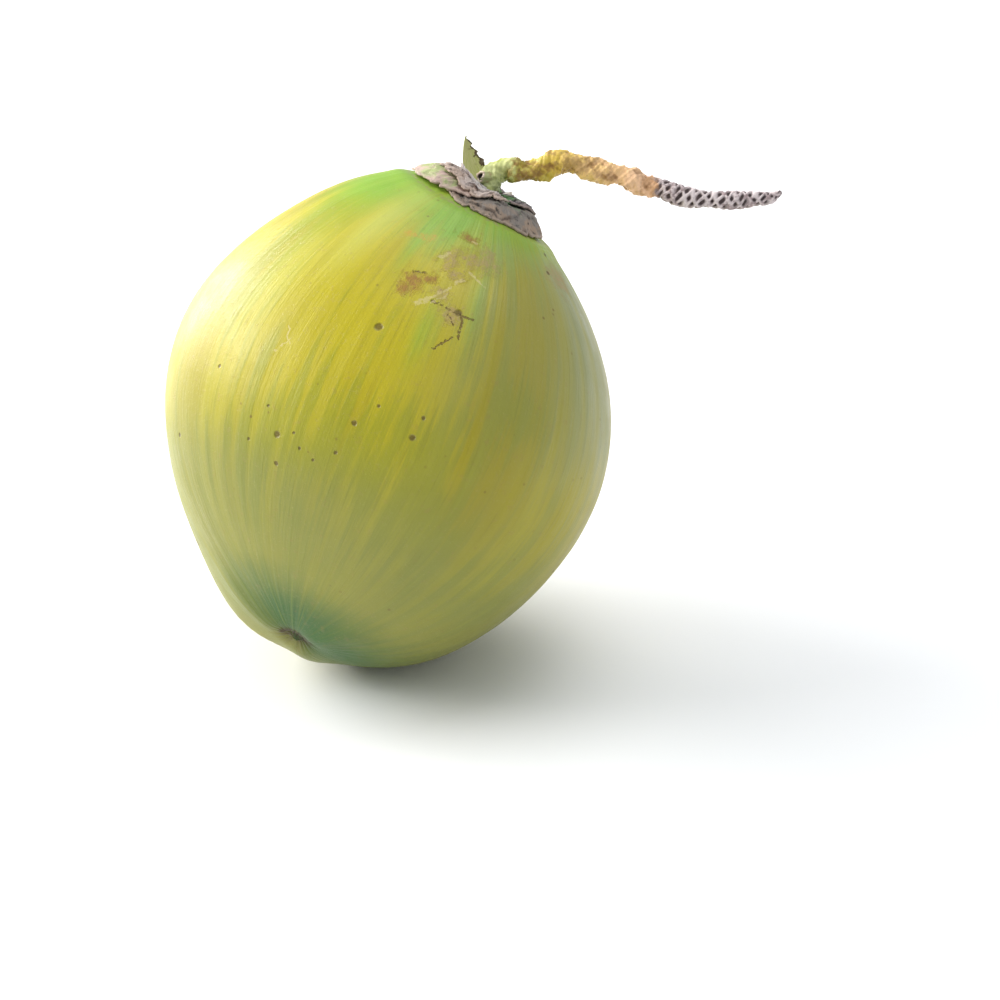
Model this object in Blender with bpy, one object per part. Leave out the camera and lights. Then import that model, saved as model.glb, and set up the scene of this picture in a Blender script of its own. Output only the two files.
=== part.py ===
"""A whole green coconut with its cap of six tepals, its knobbly fruit stalk and a small pointed bract.

Units are metres, +Z is up. The origin is the middle of the flat spot that the fruit rests on. The stem end points
up and a little to +X and +Y, and -Y is the fruit's front. On the fruit's skin a place is named by its polar angle,
0 at the stalk and pi at the blossom scar, and by its turn about the fruit, 0 at the front and growing towards +X.
"""

import math

import bmesh
import bpy
import numpy as np

# The fruit's body
CENTRE = np.array([0.0040, 0.0018, 0.1029])
STEM_AXIS = np.array([0.374, 0.212, 0.903])
FRONT = np.array([0.0, -0.914, 0.407])
SCAR_TOWARDS = np.array([-0.395, -0.560, -0.728])
MEAN_RADIUS = 0.0965
OVAL_RISE = 0.0034
SHOULDER_RISE = 0.0012
LOBE_TURN = math.radians(-80)
LOBE_RISE_MIDDLE = 0.0012
LOBE_RISE_LOW = 0.0035
LOBE_RISE_HIGH = 0.0030
# Broad swells and hollows: polar angle, turn and spread in degrees, then the height
SWELLS = (
    (30, 90, 26, -0.0036),
    (165, -60, 16, 0.0062),
    (150, 60, 30, 0.0050),
    (22, -80, 22, 0.0044),
    (118, -95, 26, -0.0034),
    (150, 130, 18, 0.0050),
)
HUSK_RINGS = 46
HUSK_SIDES = 64

# The blossom scar and the three ridges that run into it
SCAR_DIMPLE = 0.0030
SCAR_DIMPLE_REACH = 0.0085
SCAR_NUB = 0.0034
SCAR_NUB_REACH = 0.0026
RIDGE_RISE = 0.0022
RIDGE_REACH = 0.0065
RIDGE_START = 0.012
RIDGE_END = 0.062
RIM_RISE = 0.0008
RIM_AT = 0.037
RIM_REACH = 0.0045

# The cap of tepals: an inner whorl of three broad domed ones and an outer whorl of three thinner ones
GAP = 0.0003
STEM_RADIUS = 0.1018
CAP_HOLE = 0.0086
INNER_TURNS = (35, 155, -85)
INNER_REACHES = (0.0325, 0.0310, 0.0315)
INNER_HALF = 75
INNER_DOME = 0.0042
INNER_DOME_AT = 0.55
INNER_MARGIN = 0.0008
OVERLAP_LIFT = 0.0012
OUTER_TURNS = (-25, 95, -145)
OUTER_REACHES = (0.0235, 0.0205, 0.0220)
OUTER_HALF = 56
OUTER_HOLE = 0.0108
OUTER_DOME = 0.0014
OUTER_MARGIN = 0.0007
RAGGED = 0.0009
TEPAL_ROWS = 9
TEPAL_COLUMNS = 20

# The stalk's route from the fruit's centre, and its radius there
STALK_ROUTE = (
    (0.0383, 0.0220, 0.0926, 0.0052),
    (0.0398, 0.0236, 0.0962, 0.0046),
    (0.0420, 0.0249, 0.0995, 0.0045),
    (0.0465, 0.0259, 0.1014, 0.0045),
    (0.0502, 0.0255, 0.1008, 0.0056),
    (0.0548, 0.0254, 0.1004, 0.0039),
    (0.0626, 0.0262, 0.1016, 0.0048),
    (0.0688, 0.0272, 0.1038, 0.0050),
    (0.0750, 0.0267, 0.1035, 0.0043),
    (0.0808, 0.0256, 0.1014, 0.0047),
    (0.0874, 0.0248, 0.1001, 0.0044),
    (0.0932, 0.0244, 0.0989, 0.0039),
    (0.0990, 0.0240, 0.0970, 0.0053),
    (0.1027, 0.0235, 0.0952, 0.0042),
    (0.1065, 0.0231, 0.0944, 0.0038),
    (0.1114, 0.0225, 0.0936, 0.0036),
    (0.1160, 0.0215, 0.0919, 0.0041),
    (0.1234, 0.0203, 0.0904, 0.0037),
    (0.1296, 0.0200, 0.0901, 0.0029),
    (0.1387, 0.0203, 0.0895, 0.0035),
    (0.1445, 0.0208, 0.0895, 0.0032),
    (0.1507, 0.0213, 0.0899, 0.0025),
    (0.1557, 0.0216, 0.0900, 0.0022),
    (0.1602, 0.0218, 0.0925, 0.0010),
)
STALK_RINGS = 96
STALK_SIDES = 14
STALK_FOOT_RINGS = 2
STALK_DRY_FROM = 0.60
SCALE_RISE = 0.0007
SCALE_PITCH = 0.0042
SCALES_AROUND = 5
KNOB_RISE = 0.0005

# The bract: its foot beside the stalk, its tip, and its widest half width, all from the fruit's centre
BRACT_FOOT = np.array([0.0362, 0.0290, 0.0953])
BRACT_TIP = np.array([0.0299, 0.0313, 0.1137])
BRACT_BOW = np.array([-0.0010, 0.0012, 0.0])
BRACT_ACROSS = np.array([0.88, 0.36, -0.10])
BRACT_HALF_WIDTH = 0.0075
BRACT_CUP = 0.0012
BRACT_THICKNESS = 0.0011
BRACT_TEETH = 5
BRACT_TOOTH = 0.0006
BRACT_ROWS = 14
BRACT_COLUMNS = 6


def unit(vector):
    return vector / np.linalg.norm(vector, axis=-1, keepdims=True)


AXIS = unit(STEM_AXIS)
AHEAD = unit(FRONT - AXIS * (FRONT @ AXIS))
SIDE = np.cross(AXIS, AHEAD)
SCAR = unit(SCAR_TOWARDS)


def smooth(share):
    """0 below 0, 1 above 1, and an even S between them."""
    share = np.clip(share, 0.0, 1.0)
    return share * share * (3 - 2 * share)


def direction(polar, turn):
    """The unit direction from the fruit's centre at a polar angle and a turn."""
    across = np.cos(turn)[..., None] * AHEAD + np.sin(turn)[..., None] * SIDE
    return np.cos(polar)[..., None] * AXIS + np.sin(polar)[..., None] * across


def drawn_to_scar(polar, turn):
    """As direction, with the lower end of every meridian drawn sideways to the blossom scar."""
    share = ((1 - np.cos(polar)) / 2) ** 2
    return unit(direction(polar, turn) + share[..., None] * (SCAR + AXIS))


def body_radius(way):
    """The plain body's distance from the centre along a unit direction."""
    along = way @ AXIS
    across = 1 - along**2
    turn = np.arctan2(way @ SIDE, way @ AHEAD)
    polar = np.arccos(np.clip(along, -1, 1))
    radius = MEAN_RADIUS + OVAL_RISE * np.cos(2 * polar) + SHOULDER_RISE * np.cos(4 * polar)
    low, high = (1 - along) / 2, (1 + along) / 2
    lobe = across * (LOBE_RISE_MIDDLE + LOBE_RISE_LOW * low + LOBE_RISE_HIGH * high)
    radius = radius + lobe * np.cos(3 * (turn - LOBE_TURN))
    for swell_polar, swell_turn, spread, height in SWELLS:
        top = direction(np.array(math.radians(swell_polar)), np.array(math.radians(swell_turn)))
        radius = radius + height * np.exp((way @ top - 1) / (1 - math.cos(math.radians(spread))))
    return radius


def skin_detail(polar, turn):
    """Height added to the body for the rim below the cap, the ridges, and the scar's dimple and nub."""
    from_scar = (math.pi - polar) * MEAN_RADIUS
    off_ridge = np.sin(1.5 * (turn - LOBE_TURN)) / 1.5 * np.sin(polar) * MEAN_RADIUS
    run = smooth(from_scar / RIDGE_START) * (1 - smooth((from_scar - RIDGE_START) / (RIDGE_END - RIDGE_START)))
    height = RIDGE_RISE * run * np.exp(-((off_ridge / RIDGE_REACH) ** 2))
    height = height - SCAR_DIMPLE * np.exp(-((from_scar / SCAR_DIMPLE_REACH) ** 2))
    height = height + SCAR_NUB * np.exp(-((from_scar / SCAR_NUB_REACH) ** 2))
    return height + RIM_RISE * np.exp(-(((polar * STEM_RADIUS - RIM_AT) / RIM_REACH) ** 2))


def skin_point(polar, turn):
    """A point of the skin, with the underside cut level where the fruit rests."""
    way = drawn_to_scar(polar, turn)
    point = CENTRE + (body_radius(way) + skin_detail(polar, turn))[..., None] * way
    point[..., 2] = np.maximum(point[..., 2], 0.0)
    return point


def above_skin(polar, turn, height):
    """A point at a height above the skin, along the skin's normal."""
    step = 1e-3
    down = skin_point(polar + step, turn) - skin_point(polar - step, turn)
    around = skin_point(polar, turn + step) - skin_point(polar, turn - step)
    normal = unit(np.cross(down, around))
    return skin_point(polar, turn) + height[..., None] * normal


def plain_material(name, colour, roughness):
    material = bpy.data.materials.new(name)
    material.use_nodes = True
    shader = material.node_tree.nodes["Principled BSDF"]
    shader.inputs["Base Color"].default_value = (*colour, 1.0)
    shader.inputs["Roughness"].default_value = roughness
    return material


def add_object(name, shape, material):
    """A smooth-shaded object from a bmesh, with all faces turned outwards."""
    bmesh.ops.recalc_face_normals(shape, faces=shape.faces)
    mesh = bpy.data.meshes.new(name)
    shape.to_mesh(mesh)
    shape.free()
    mesh.shade_smooth()
    mesh.set_sharp_from_angle(angle=math.radians(50))
    mesh.materials.append(material)
    item = bpy.data.objects.new(name, mesh)
    bpy.context.scene.collection.objects.link(item)
    return item


def capped_rings(first, rings, last):
    """A closed bmesh of rings of points, one after another, with a point at each end."""
    shape = bmesh.new()
    start = shape.verts.new(first)
    loops = [[shape.verts.new(point) for point in ring] for ring in rings]
    end = shape.verts.new(last)
    sides = len(loops[0])
    for i in range(sides):
        j = (i + 1) % sides
        shape.faces.new((start, loops[0][j], loops[0][i]))
        shape.faces.new((end, loops[-1][i], loops[-1][j]))
        for near, far in zip(loops, loops[1:]):
            shape.faces.new((near[i], near[j], far[j], far[i]))
    return shape


def slab(top, bottom):
    """A closed bmesh between two grids of points of the same size."""
    shape = bmesh.new()
    rows, columns = top.shape[:2]
    upper = [[shape.verts.new(point) for point in row] for row in top]
    lower = [[shape.verts.new(point) for point in row] for row in bottom]
    for i in range(rows - 1):
        for j in range(columns - 1):
            shape.faces.new((upper[i][j], upper[i][j + 1], upper[i + 1][j + 1], upper[i + 1][j]))
            shape.faces.new((lower[i][j], lower[i + 1][j], lower[i + 1][j + 1], lower[i][j + 1]))
    for i in range(rows - 1):
        for j in (0, columns - 1):
            shape.faces.new((upper[i][j], lower[i][j], lower[i + 1][j], upper[i + 1][j]))
    for j in range(columns - 1):
        for i in (0, rows - 1):
            shape.faces.new((upper[i][j], lower[i][j], lower[i][j + 1], upper[i][j + 1]))
    return shape


def husk():
    """The whole body, with rings closest together at its two ends."""
    share = np.arange(1, HUSK_RINGS) / HUSK_RINGS
    polar = math.pi * share - 0.25 * np.sin(2 * math.pi * share)
    turn = np.linspace(0, 2 * math.pi, HUSK_SIDES, endpoint=False) + LOBE_TURN
    polar, turn = np.meshgrid(polar, turn, indexing="ij")
    stem = skin_point(np.array(0.0), np.array(0.0))
    scar = skin_point(np.array(math.pi), np.array(0.0))
    shape = capped_rings(stem, skin_point(polar, turn), scar)
    return add_object("husk", shape, plain_material("green_husk", (0.42, 0.45, 0.06), 0.42))


def margin(off_middle, reach, seed):
    """How far a tepal's ragged outer margin lies from the stalk, at a share of its half width off its middle."""
    ragged = np.sin(7.3 * off_middle + 2.1 * seed) + 0.6 * np.sin(17.0 * off_middle + 4.7 * seed)
    return reach * (1 - 0.22 * np.abs(off_middle) ** 2.4) + RAGGED * ragged


def inner_thickness(share, off_middle):
    """An inner tepal's thickness at a share of its length and a share of its half width off its middle."""
    dome = np.sin(math.pi * np.clip(share, 0, 1) ** (math.log(0.5) / math.log(INNER_DOME_AT))) ** 1.3
    width = smooth((off_middle + 0.70) / 0.60) * smooth((1.0 - off_middle) / 0.60)
    return INNER_MARGIN + (INNER_DOME - INNER_MARGIN) * dome * width


def inner_bottom(off_middle):
    """An inner tepal's height above the skin: one side lies on the skin, the other over its neighbour."""
    return GAP + OVERLAP_LIFT * smooth((off_middle - 0.10) / 0.45)


def inner_top_height(arc, turn):
    """The height above the skin of the inner whorl's upper side, or of the skin itself where it is bare."""
    height = np.zeros(np.broadcast(arc, turn).shape)
    for seed, (middle, reach) in enumerate(zip(INNER_TURNS, INNER_REACHES)):
        away = (np.degrees(turn) - middle + 180) % 360 - 180
        off_middle = away / INNER_HALF
        share = (arc - CAP_HOLE) / (margin(off_middle, reach, seed) - CAP_HOLE)
        top = inner_bottom(off_middle) + inner_thickness(share, off_middle)
        covered = (np.abs(off_middle) <= 1.02) & (share <= 1.02)
        height = np.maximum(height, np.where(covered, top, 0.0))
    return height


def clear_of_inner(arc, turn):
    """A height above the skin that clears the inner whorl at this place and a little way round it."""
    heights = [
        inner_top_height(arc + 0.0016 * i, turn + math.radians(7) * j) for i in (-1, 0, 1) for j in (-1, -0.5, 0, 0.5, 1)
    ]
    return np.maximum.reduce(heights) + GAP


def tepal_grid(middle, half, hole, reach, seed):
    """Places over one tepal: arc from the stalk, turn, share of its length, and share of its half width."""
    share, off_middle = np.meshgrid(
        np.linspace(0, 1, TEPAL_ROWS), np.linspace(-1, 1, TEPAL_COLUMNS), indexing="ij"
    )
    arc = hole + share * (margin(off_middle, reach, seed) - hole)
    return arc, np.radians(middle + half * off_middle), share, off_middle


def tepal(name, arc, turn, bottom, thickness, material):
    polar = arc / STEM_RADIUS
    return add_object(
        name, slab(above_skin(polar, turn, bottom + thickness), above_skin(polar, turn, bottom)), material
    )


def inner_whorl():
    material = plain_material("tepal_green", (0.30, 0.30, 0.16), 0.60)
    for seed, (middle, reach) in enumerate(zip(INNER_TURNS, INNER_REACHES)):
        arc, turn, share, off_middle = tepal_grid(middle, INNER_HALF, CAP_HOLE, reach, seed)
        tepal(
            f"tepal_inner_{seed + 1}",
            arc,
            turn,
            inner_bottom(off_middle),
            inner_thickness(share, off_middle),
            material,
        )


def outer_whorl():
    material = plain_material("tepal_brown", (0.36, 0.25, 0.20), 0.70)
    for seed, (middle, reach) in enumerate(zip(OUTER_TURNS, OUTER_REACHES)):
        arc, turn, share, off_middle = tepal_grid(middle, OUTER_HALF, OUTER_HOLE, reach, seed + 3)
        fall = smooth((1 - share) / 0.5) * smooth((1 - np.abs(off_middle)) / 0.4)
        thickness = OUTER_MARGIN + (OUTER_DOME - OUTER_MARGIN) * fall
        tepal(f"tepal_outer_{seed + 1}", arc, turn, clear_of_inner(arc, turn), thickness, material)


def stalk_line(share):
    """The stalk's middle line and radius at shares of its route, on a smooth curve through the route's points."""
    route = np.array(STALK_ROUTE)
    padded = np.vstack([2 * route[0] - route[1], route, 2 * route[-1] - route[-2]])
    place = np.clip(share, 0, 1) * (len(route) - 1)
    index = np.minimum(place.astype(int), len(route) - 2)
    t = (place - index)[:, None]
    a, b, c, d = (padded[index + k] for k in range(4))
    curve = b + 0.5 * t * (c - a + t * (2 * a - 5 * b + 4 * c - d + t * (3 * (b - c) + d - a)))
    return CENTRE + curve[:, :3], curve[:, 3]


def stalk_relief(length, around, dry):
    """Height added to the stalk's skin: uneven knobs on its fresh part, rows of scales on its dry end."""
    knobs = np.sin(2 * around + 260 * length) + 0.7 * np.sin(3 * around - 430 * length + 1.0)
    row = length / SCALE_PITCH
    scales = np.sin(2 * math.pi * row) * np.cos(SCALES_AROUND * around + math.pi * np.floor(row))
    return KNOB_RISE * knobs * (1 - dry) + SCALE_RISE * scales * dry


def stalk():
    """The stalk, swept along its route with level rings that turn with the route."""
    share = np.linspace(0, 1, STALK_RINGS)
    middle, radius = stalk_line(share)
    ahead = unit(np.gradient(middle, axis=0))
    length = np.concatenate([[0], np.cumsum(np.linalg.norm(np.diff(middle, axis=0), axis=1))])
    level = unit(np.cross(ahead, AHEAD))
    upright = np.cross(level, ahead)
    around = np.linspace(0, 2 * math.pi, STALK_SIDES, endpoint=False)[None, :]
    dry = smooth((share - STALK_DRY_FROM) / 0.04)[:, None]
    taper = smooth(np.minimum(share, 1 - share) / 0.05)[:, None]
    rise = stalk_relief(length[:, None], around, dry) * taper
    reach = (radius[:, None] + rise)[..., None]
    rings = middle[:, None] + reach * (
        np.cos(around)[..., None] * level[:, None] + np.sin(around)[..., None] * upright[:, None]
    )
    foot_turn = math.pi / 2 - around[0]
    foot = above_skin(np.full_like(foot_turn, radius[0] / STEM_RADIUS), foot_turn, np.full_like(foot_turn, GAP))
    rings = np.concatenate([foot[None], rings[STALK_FOOT_RINGS:]])
    start = above_skin(np.array(1e-4), np.array(0.0), np.array(GAP))
    shape = capped_rings(start, rings, middle[-1] + ahead[-1] * radius[-1] * 0.5)
    return add_object("stalk", shape, plain_material("stalk_tan", (0.50, 0.36, 0.12), 0.65))


def bract():
    """The pointed bract beside the stalk's foot: a cupped blade with a toothed edge on its right."""
    along, across = np.meshgrid(np.linspace(0, 1, BRACT_ROWS), np.linspace(-1, 1, BRACT_COLUMNS), indexing="ij")
    teeth = BRACT_TOOTH * np.sin(2 * math.pi * BRACT_TEETH * along) * np.clip(across, 0, 1)
    half = BRACT_HALF_WIDTH * (1 - along) * (0.55 + 0.45 * smooth(along / 0.30)) + 0.0003
    width_way = unit(BRACT_ACROSS)
    rise_way = unit(BRACT_TIP - BRACT_FOOT)
    back_way = np.cross(rise_way, width_way)
    middle = BRACT_FOOT + along[..., None] * (BRACT_TIP - BRACT_FOOT)
    middle = middle + (4 * along * (1 - along))[..., None] * BRACT_BOW
    cup = BRACT_CUP * across**2 * (1 - along)
    blade = middle + (across * half + teeth)[..., None] * width_way - cup[..., None] * back_way
    thick = BRACT_THICKNESS * (0.35 + 0.65 * (1 - across**2)) * (1 - 0.6 * along)
    front = CENTRE + blade - 0.5 * thick[..., None] * back_way
    back = CENTRE + blade + 0.5 * thick[..., None] * back_way
    return add_object("bract", slab(front, back), plain_material("bract_green", (0.42, 0.45, 0.16), 0.60))


def main():
    for item in list(bpy.data.objects):
        bpy.data.objects.remove(item, do_unlink=True)
    husk()
    inner_whorl()
    outer_whorl()
    stalk()
    bract()


main()
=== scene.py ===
"""The looks of a green coconut: its skin, its ragged cap of tepals, its knobbly stalk and its bract.

Units are metres and the frame is the part's own. A place on the skin is named by its polar angle, 0 at the
stalk and pi at the blossom scar, and by its turn about the fruit, 0 at the front and growing towards +X.
"""

import math

import bpy
import numpy as np
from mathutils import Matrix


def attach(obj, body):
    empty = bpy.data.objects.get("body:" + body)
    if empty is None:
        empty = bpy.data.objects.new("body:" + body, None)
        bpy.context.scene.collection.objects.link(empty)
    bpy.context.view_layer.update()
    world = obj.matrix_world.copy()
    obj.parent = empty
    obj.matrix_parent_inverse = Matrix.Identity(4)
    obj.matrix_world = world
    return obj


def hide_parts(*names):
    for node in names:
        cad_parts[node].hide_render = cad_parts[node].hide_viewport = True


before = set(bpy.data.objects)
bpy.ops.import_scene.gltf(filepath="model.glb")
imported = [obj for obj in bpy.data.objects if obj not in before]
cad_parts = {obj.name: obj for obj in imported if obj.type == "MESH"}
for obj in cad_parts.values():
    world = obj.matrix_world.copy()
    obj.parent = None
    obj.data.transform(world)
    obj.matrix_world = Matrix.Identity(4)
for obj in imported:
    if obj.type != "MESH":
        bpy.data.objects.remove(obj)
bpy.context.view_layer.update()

# The fruit's body, as in the part
CENTRE = np.array([0.0040, 0.0018, 0.1029])
STEM_AXIS = np.array([0.374, 0.212, 0.903])
FRONT = np.array([0.0, -0.914, 0.407])
SCAR_TOWARDS = np.array([-0.395, -0.560, -0.728])
MEAN_RADIUS = 0.0965
OVAL_RISE = 0.0034
SHOULDER_RISE = 0.0012
LOBE_TURN = math.radians(-80)
LOBE_RISE_MIDDLE = 0.0012
LOBE_RISE_LOW = 0.0035
LOBE_RISE_HIGH = 0.0030
SWELLS = (
    (30, 90, 26, -0.0036),
    (165, -60, 16, 0.0062),
    (150, 60, 30, 0.0050),
    (22, -80, 22, 0.0044),
    (118, -95, 26, -0.0034),
    (150, 130, 18, 0.0050),
)
SCAR_DIMPLE = 0.0030
SCAR_DIMPLE_REACH = 0.0085
SCAR_NUB = 0.0034
SCAR_NUB_REACH = 0.0026
RIDGE_RISE = 0.0022
RIDGE_REACH = 0.0065
RIDGE_START = 0.012
RIDGE_END = 0.062
RIM_RISE = 0.0008
RIM_AT = 0.037
RIM_REACH = 0.0045

# The cap of tepals, as in the part
GAP = 0.0003
STEM_RADIUS = 0.1018
CAP_HOLE = 0.0086
INNER_TURNS = (35, 155, -85)
INNER_REACHES = (0.0325, 0.0310, 0.0315)
INNER_HALF = 75
INNER_DOME = 0.0042
INNER_DOME_AT = 0.55
INNER_MARGIN = 0.0008
OVERLAP_LIFT = 0.0012
OUTER_TURNS = (-25, 95, -145)
OUTER_REACHES = (0.0235, 0.0205, 0.0220)
OUTER_HALF = 56
OUTER_HOLE = 0.0108
OUTER_DOME = 0.0014
OUTER_MARGIN = 0.0007
RAGGED = 0.0009

# The stalk's route and radius, and the bract, as in the part
STALK_ROUTE = (
    (0.0383, 0.0220, 0.0926, 0.0052),
    (0.0398, 0.0236, 0.0962, 0.0046),
    (0.0420, 0.0249, 0.0995, 0.0045),
    (0.0465, 0.0259, 0.1014, 0.0045),
    (0.0502, 0.0255, 0.1008, 0.0056),
    (0.0548, 0.0254, 0.1004, 0.0039),
    (0.0626, 0.0262, 0.1016, 0.0048),
    (0.0688, 0.0272, 0.1038, 0.0050),
    (0.0750, 0.0267, 0.1035, 0.0043),
    (0.0808, 0.0256, 0.1014, 0.0047),
    (0.0874, 0.0248, 0.1001, 0.0044),
    (0.0932, 0.0244, 0.0989, 0.0039),
    (0.0990, 0.0240, 0.0970, 0.0053),
    (0.1027, 0.0235, 0.0952, 0.0042),
    (0.1065, 0.0231, 0.0944, 0.0038),
    (0.1114, 0.0225, 0.0936, 0.0036),
    (0.1160, 0.0215, 0.0919, 0.0041),
    (0.1234, 0.0203, 0.0904, 0.0037),
    (0.1296, 0.0200, 0.0901, 0.0029),
    (0.1387, 0.0203, 0.0895, 0.0035),
    (0.1445, 0.0208, 0.0895, 0.0032),
    (0.1507, 0.0213, 0.0899, 0.0025),
    (0.1557, 0.0216, 0.0900, 0.0022),
    (0.1602, 0.0218, 0.0925, 0.0010),
)
STALK_DRY_FROM = 0.60
SCALE_RISE = 0.0007
RIDGE_PITCH = 0.0044
KNOB_RISE = 0.0005
BRACT_FOOT = np.array([0.0362, 0.0290, 0.0953])
BRACT_TIP = np.array([0.0299, 0.0313, 0.1137])
BRACT_BOW = np.array([-0.0010, 0.0012, 0.0])
BRACT_ACROSS = np.array([0.88, 0.36, -0.10])
BRACT_HALF_WIDTH = 0.0075
BRACT_CUP = 0.0012
BRACT_THICKNESS = 0.0011
BRACT_TEETH = 5
BRACT_TOOTH = 0.0006

# Fineness of the visible pieces
HUSK_RINGS = 230
HUSK_SIDES = 400
TEPAL_ROWS = 56
TEPAL_COLUMNS = 110
STALK_RINGS = 760
STALK_SIDES = 56
BRACT_ROWS = 80
BRACT_COLUMNS = 30

# Soft patches on the skin: polar angle and turn in degrees, then their sizes along and around in metres
BROWN_SCUFFS = (
    (48.2, -10.0, 0.0046, 0.0046),
    (45.6, -9.0, 0.0040, 0.0054),
    (43.8, -5.0, 0.0028, 0.0060),
    (28.0, 4.5, 0.0026, 0.0056),
)
TAN_SCUFFS = (
    (36.8, 0.5, 0.0060, 0.0060),
    (34.5, 7.0, 0.0052, 0.0062),
    (40.5, 4.5, 0.0042, 0.0044),
    (46.5, 1.0, 0.0040, 0.0050),
    (33.0, 15.0, 0.0070, 0.0055),
    (51.5, 7.0, 0.0050, 0.0046),
    (30.0, 60.0, 0.0080, 0.0090),
)
GREEN_STREAKS = (
    (24.0, -6.0, 0.0180, 0.0042),
    (57.0, 1.0, 0.0150, 0.0045),
    (46.0, 13.0, 0.0180, 0.0036),
    (36.0, -16.0, 0.0140, 0.0040),
    (30.0, -62.0, 0.0260, 0.0150),
)
# Painted highlight: pale bands along the left ridge, placed like the patches above
RIDGE_HIGHLIGHT_HIGH = (36, -36, 0.026, 0.0075)
RIDGE_HIGHLIGHT_LOW = (60, -50, 0.030, 0.012)
SPECK_CLUSTER = (98, -27, 0.022, 0.036)
# Lines on the skin: the ends' polar angle and turn in degrees, then the half width in metres
CRACKS = (
    ((50.2, 9.2), (52.5, 10.8), 0.0010),
    ((52.5, 10.8), (56.4, 10.8), 0.0009),
    ((50.4, 10.4), (51.0, 14.0), 0.0009),
    ((61.0, 5.4), (57.9, 7.9), 0.0009),
    ((57.9, 7.9), (56.6, 9.0), 0.0008),
    ((49.4, -0.7), (49.7, 3.2), 0.0013),
    ((49.9, 5.0), (50.2, 8.4), 0.0009),
    ((51.5, 6.0), (53.8, 8.8), 0.0006),
    ((43.4, -10.5), (42.6, -6.0), 0.0008),
)
SCRATCHES = (
    ((36.9, -4.3), (34.9, -2.2), 0.0013),
    ((42.3, 4.7), (41.0, 6.8), 0.0013),
    ((38.2, 7.6), (41.0, 14.8), 0.0009),
    ((51.2, -4.7), (49.4, -1.8), 0.0018),
    ((49.4, -1.8), (44.1, 3.6), 0.0010),
    ((50.1, -0.6), (46.4, 3.4), 0.0008),
    ((28.4, 5.8), (28.9, 7.4), 0.0010),
    ((71.0, -36.0), (75.0, -33.0), 0.0007),
    ((73.0, -33.5), (79.0, -37.0), 0.0005),
)
ORANGE_STREAKS = (
    ((34.1, -22.3), (33.0, -15.0), 0.0022),
    ((33.0, -15.0), (32.4, -12.0), 0.0030),
)
# Spots: polar angle and turn in degrees, then the radius in metres
DARK_SPOTS = (
    (50.1, 8.8, 0.0020),
    (60.7, -11.5, 0.0021),
    (86.0, -6.5, 0.0014),
    (83.7, 9.0, 0.0016),
    (98.6, -27.0, 0.0017),
    (107.3, -25.2, 0.0012),
    (79.4, -2.2, 0.0009),
    (95.8, -8.3, 0.0011),
    (78.1, 9.7, 0.0011),
    (89.1, -51.8, 0.0010),
    (29.5, 50.8, 0.0014),
    (23.1, 59.0, 0.0011),
    (146.7, -95.4, 0.0020),
    (113.4, -68.0, 0.0013),
    (101.0, -14.0, 0.0008),
    (92.0, -32.0, 0.0008),
    (104.0, -36.0, 0.0008),
    (99.5, -19.0, 0.0009),
    (96.0, -22.0, 0.0007),
    (72.0, 110.0, 0.0015),
    (95.0, 150.0, 0.0012),
    (60.0, -160.0, 0.0014),
    (110.0, 80.0, 0.0013),
)

# The camera: the photograph's angle, a long lens
CAMERA_AT = (0.0480, -1.0778, 0.5464)
CAMERA_DOWN = math.radians(24)
CAMERA_LENS = 100


def unit(vector):
    return vector / np.linalg.norm(vector, axis=-1, keepdims=True)


AXIS = unit(STEM_AXIS)
AHEAD = unit(FRONT - AXIS * (FRONT @ AXIS))
SIDE = np.cross(AXIS, AHEAD)
SCAR = unit(SCAR_TOWARDS)


def smooth(share):
    """0 below 0, 1 above 1, and an even S between them."""
    share = np.clip(share, 0.0, 1.0)
    return share * share * (3 - 2 * share)


def direction(polar, turn):
    across = np.cos(turn)[..., None] * AHEAD + np.sin(turn)[..., None] * SIDE
    return np.cos(polar)[..., None] * AXIS + np.sin(polar)[..., None] * across


def drawn_to_scar(polar, turn):
    """As direction, with the lower end of every meridian drawn sideways to the blossom scar."""
    share = ((1 - np.cos(polar)) / 2) ** 2
    return unit(direction(polar, turn) + share[..., None] * (SCAR + AXIS))


def body_radius(way):
    """The plain body's distance from the centre along a unit direction."""
    along = way @ AXIS
    across = 1 - along**2
    turn = np.arctan2(way @ SIDE, way @ AHEAD)
    polar = np.arccos(np.clip(along, -1, 1))
    radius = MEAN_RADIUS + OVAL_RISE * np.cos(2 * polar) + SHOULDER_RISE * np.cos(4 * polar)
    low, high = (1 - along) / 2, (1 + along) / 2
    lobe = across * (LOBE_RISE_MIDDLE + LOBE_RISE_LOW * low + LOBE_RISE_HIGH * high)
    radius = radius + lobe * np.cos(3 * (turn - LOBE_TURN))
    for swell_polar, swell_turn, spread, height in SWELLS:
        top = direction(np.array(math.radians(swell_polar)), np.array(math.radians(swell_turn)))
        radius = radius + height * np.exp((way @ top - 1) / (1 - math.cos(math.radians(spread))))
    return radius


def skin_detail(polar, turn):
    """Height added to the body for the rim below the cap, the ridges, and the scar's dimple and nub."""
    from_scar = (math.pi - polar) * MEAN_RADIUS
    off_ridge = np.sin(1.5 * (turn - LOBE_TURN)) / 1.5 * np.sin(polar) * MEAN_RADIUS
    run_out = smooth((from_scar - RIDGE_START) / (RIDGE_END - RIDGE_START))
    run = smooth(from_scar / RIDGE_START) * (1 - run_out)
    height = RIDGE_RISE * run * np.exp(-((off_ridge / RIDGE_REACH) ** 2))
    height = height - SCAR_DIMPLE * np.exp(-((from_scar / SCAR_DIMPLE_REACH) ** 2))
    height = height + SCAR_NUB * np.exp(-((from_scar / SCAR_NUB_REACH) ** 2))
    return height + RIM_RISE * np.exp(-(((polar * STEM_RADIUS - RIM_AT) / RIM_REACH) ** 2))


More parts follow.
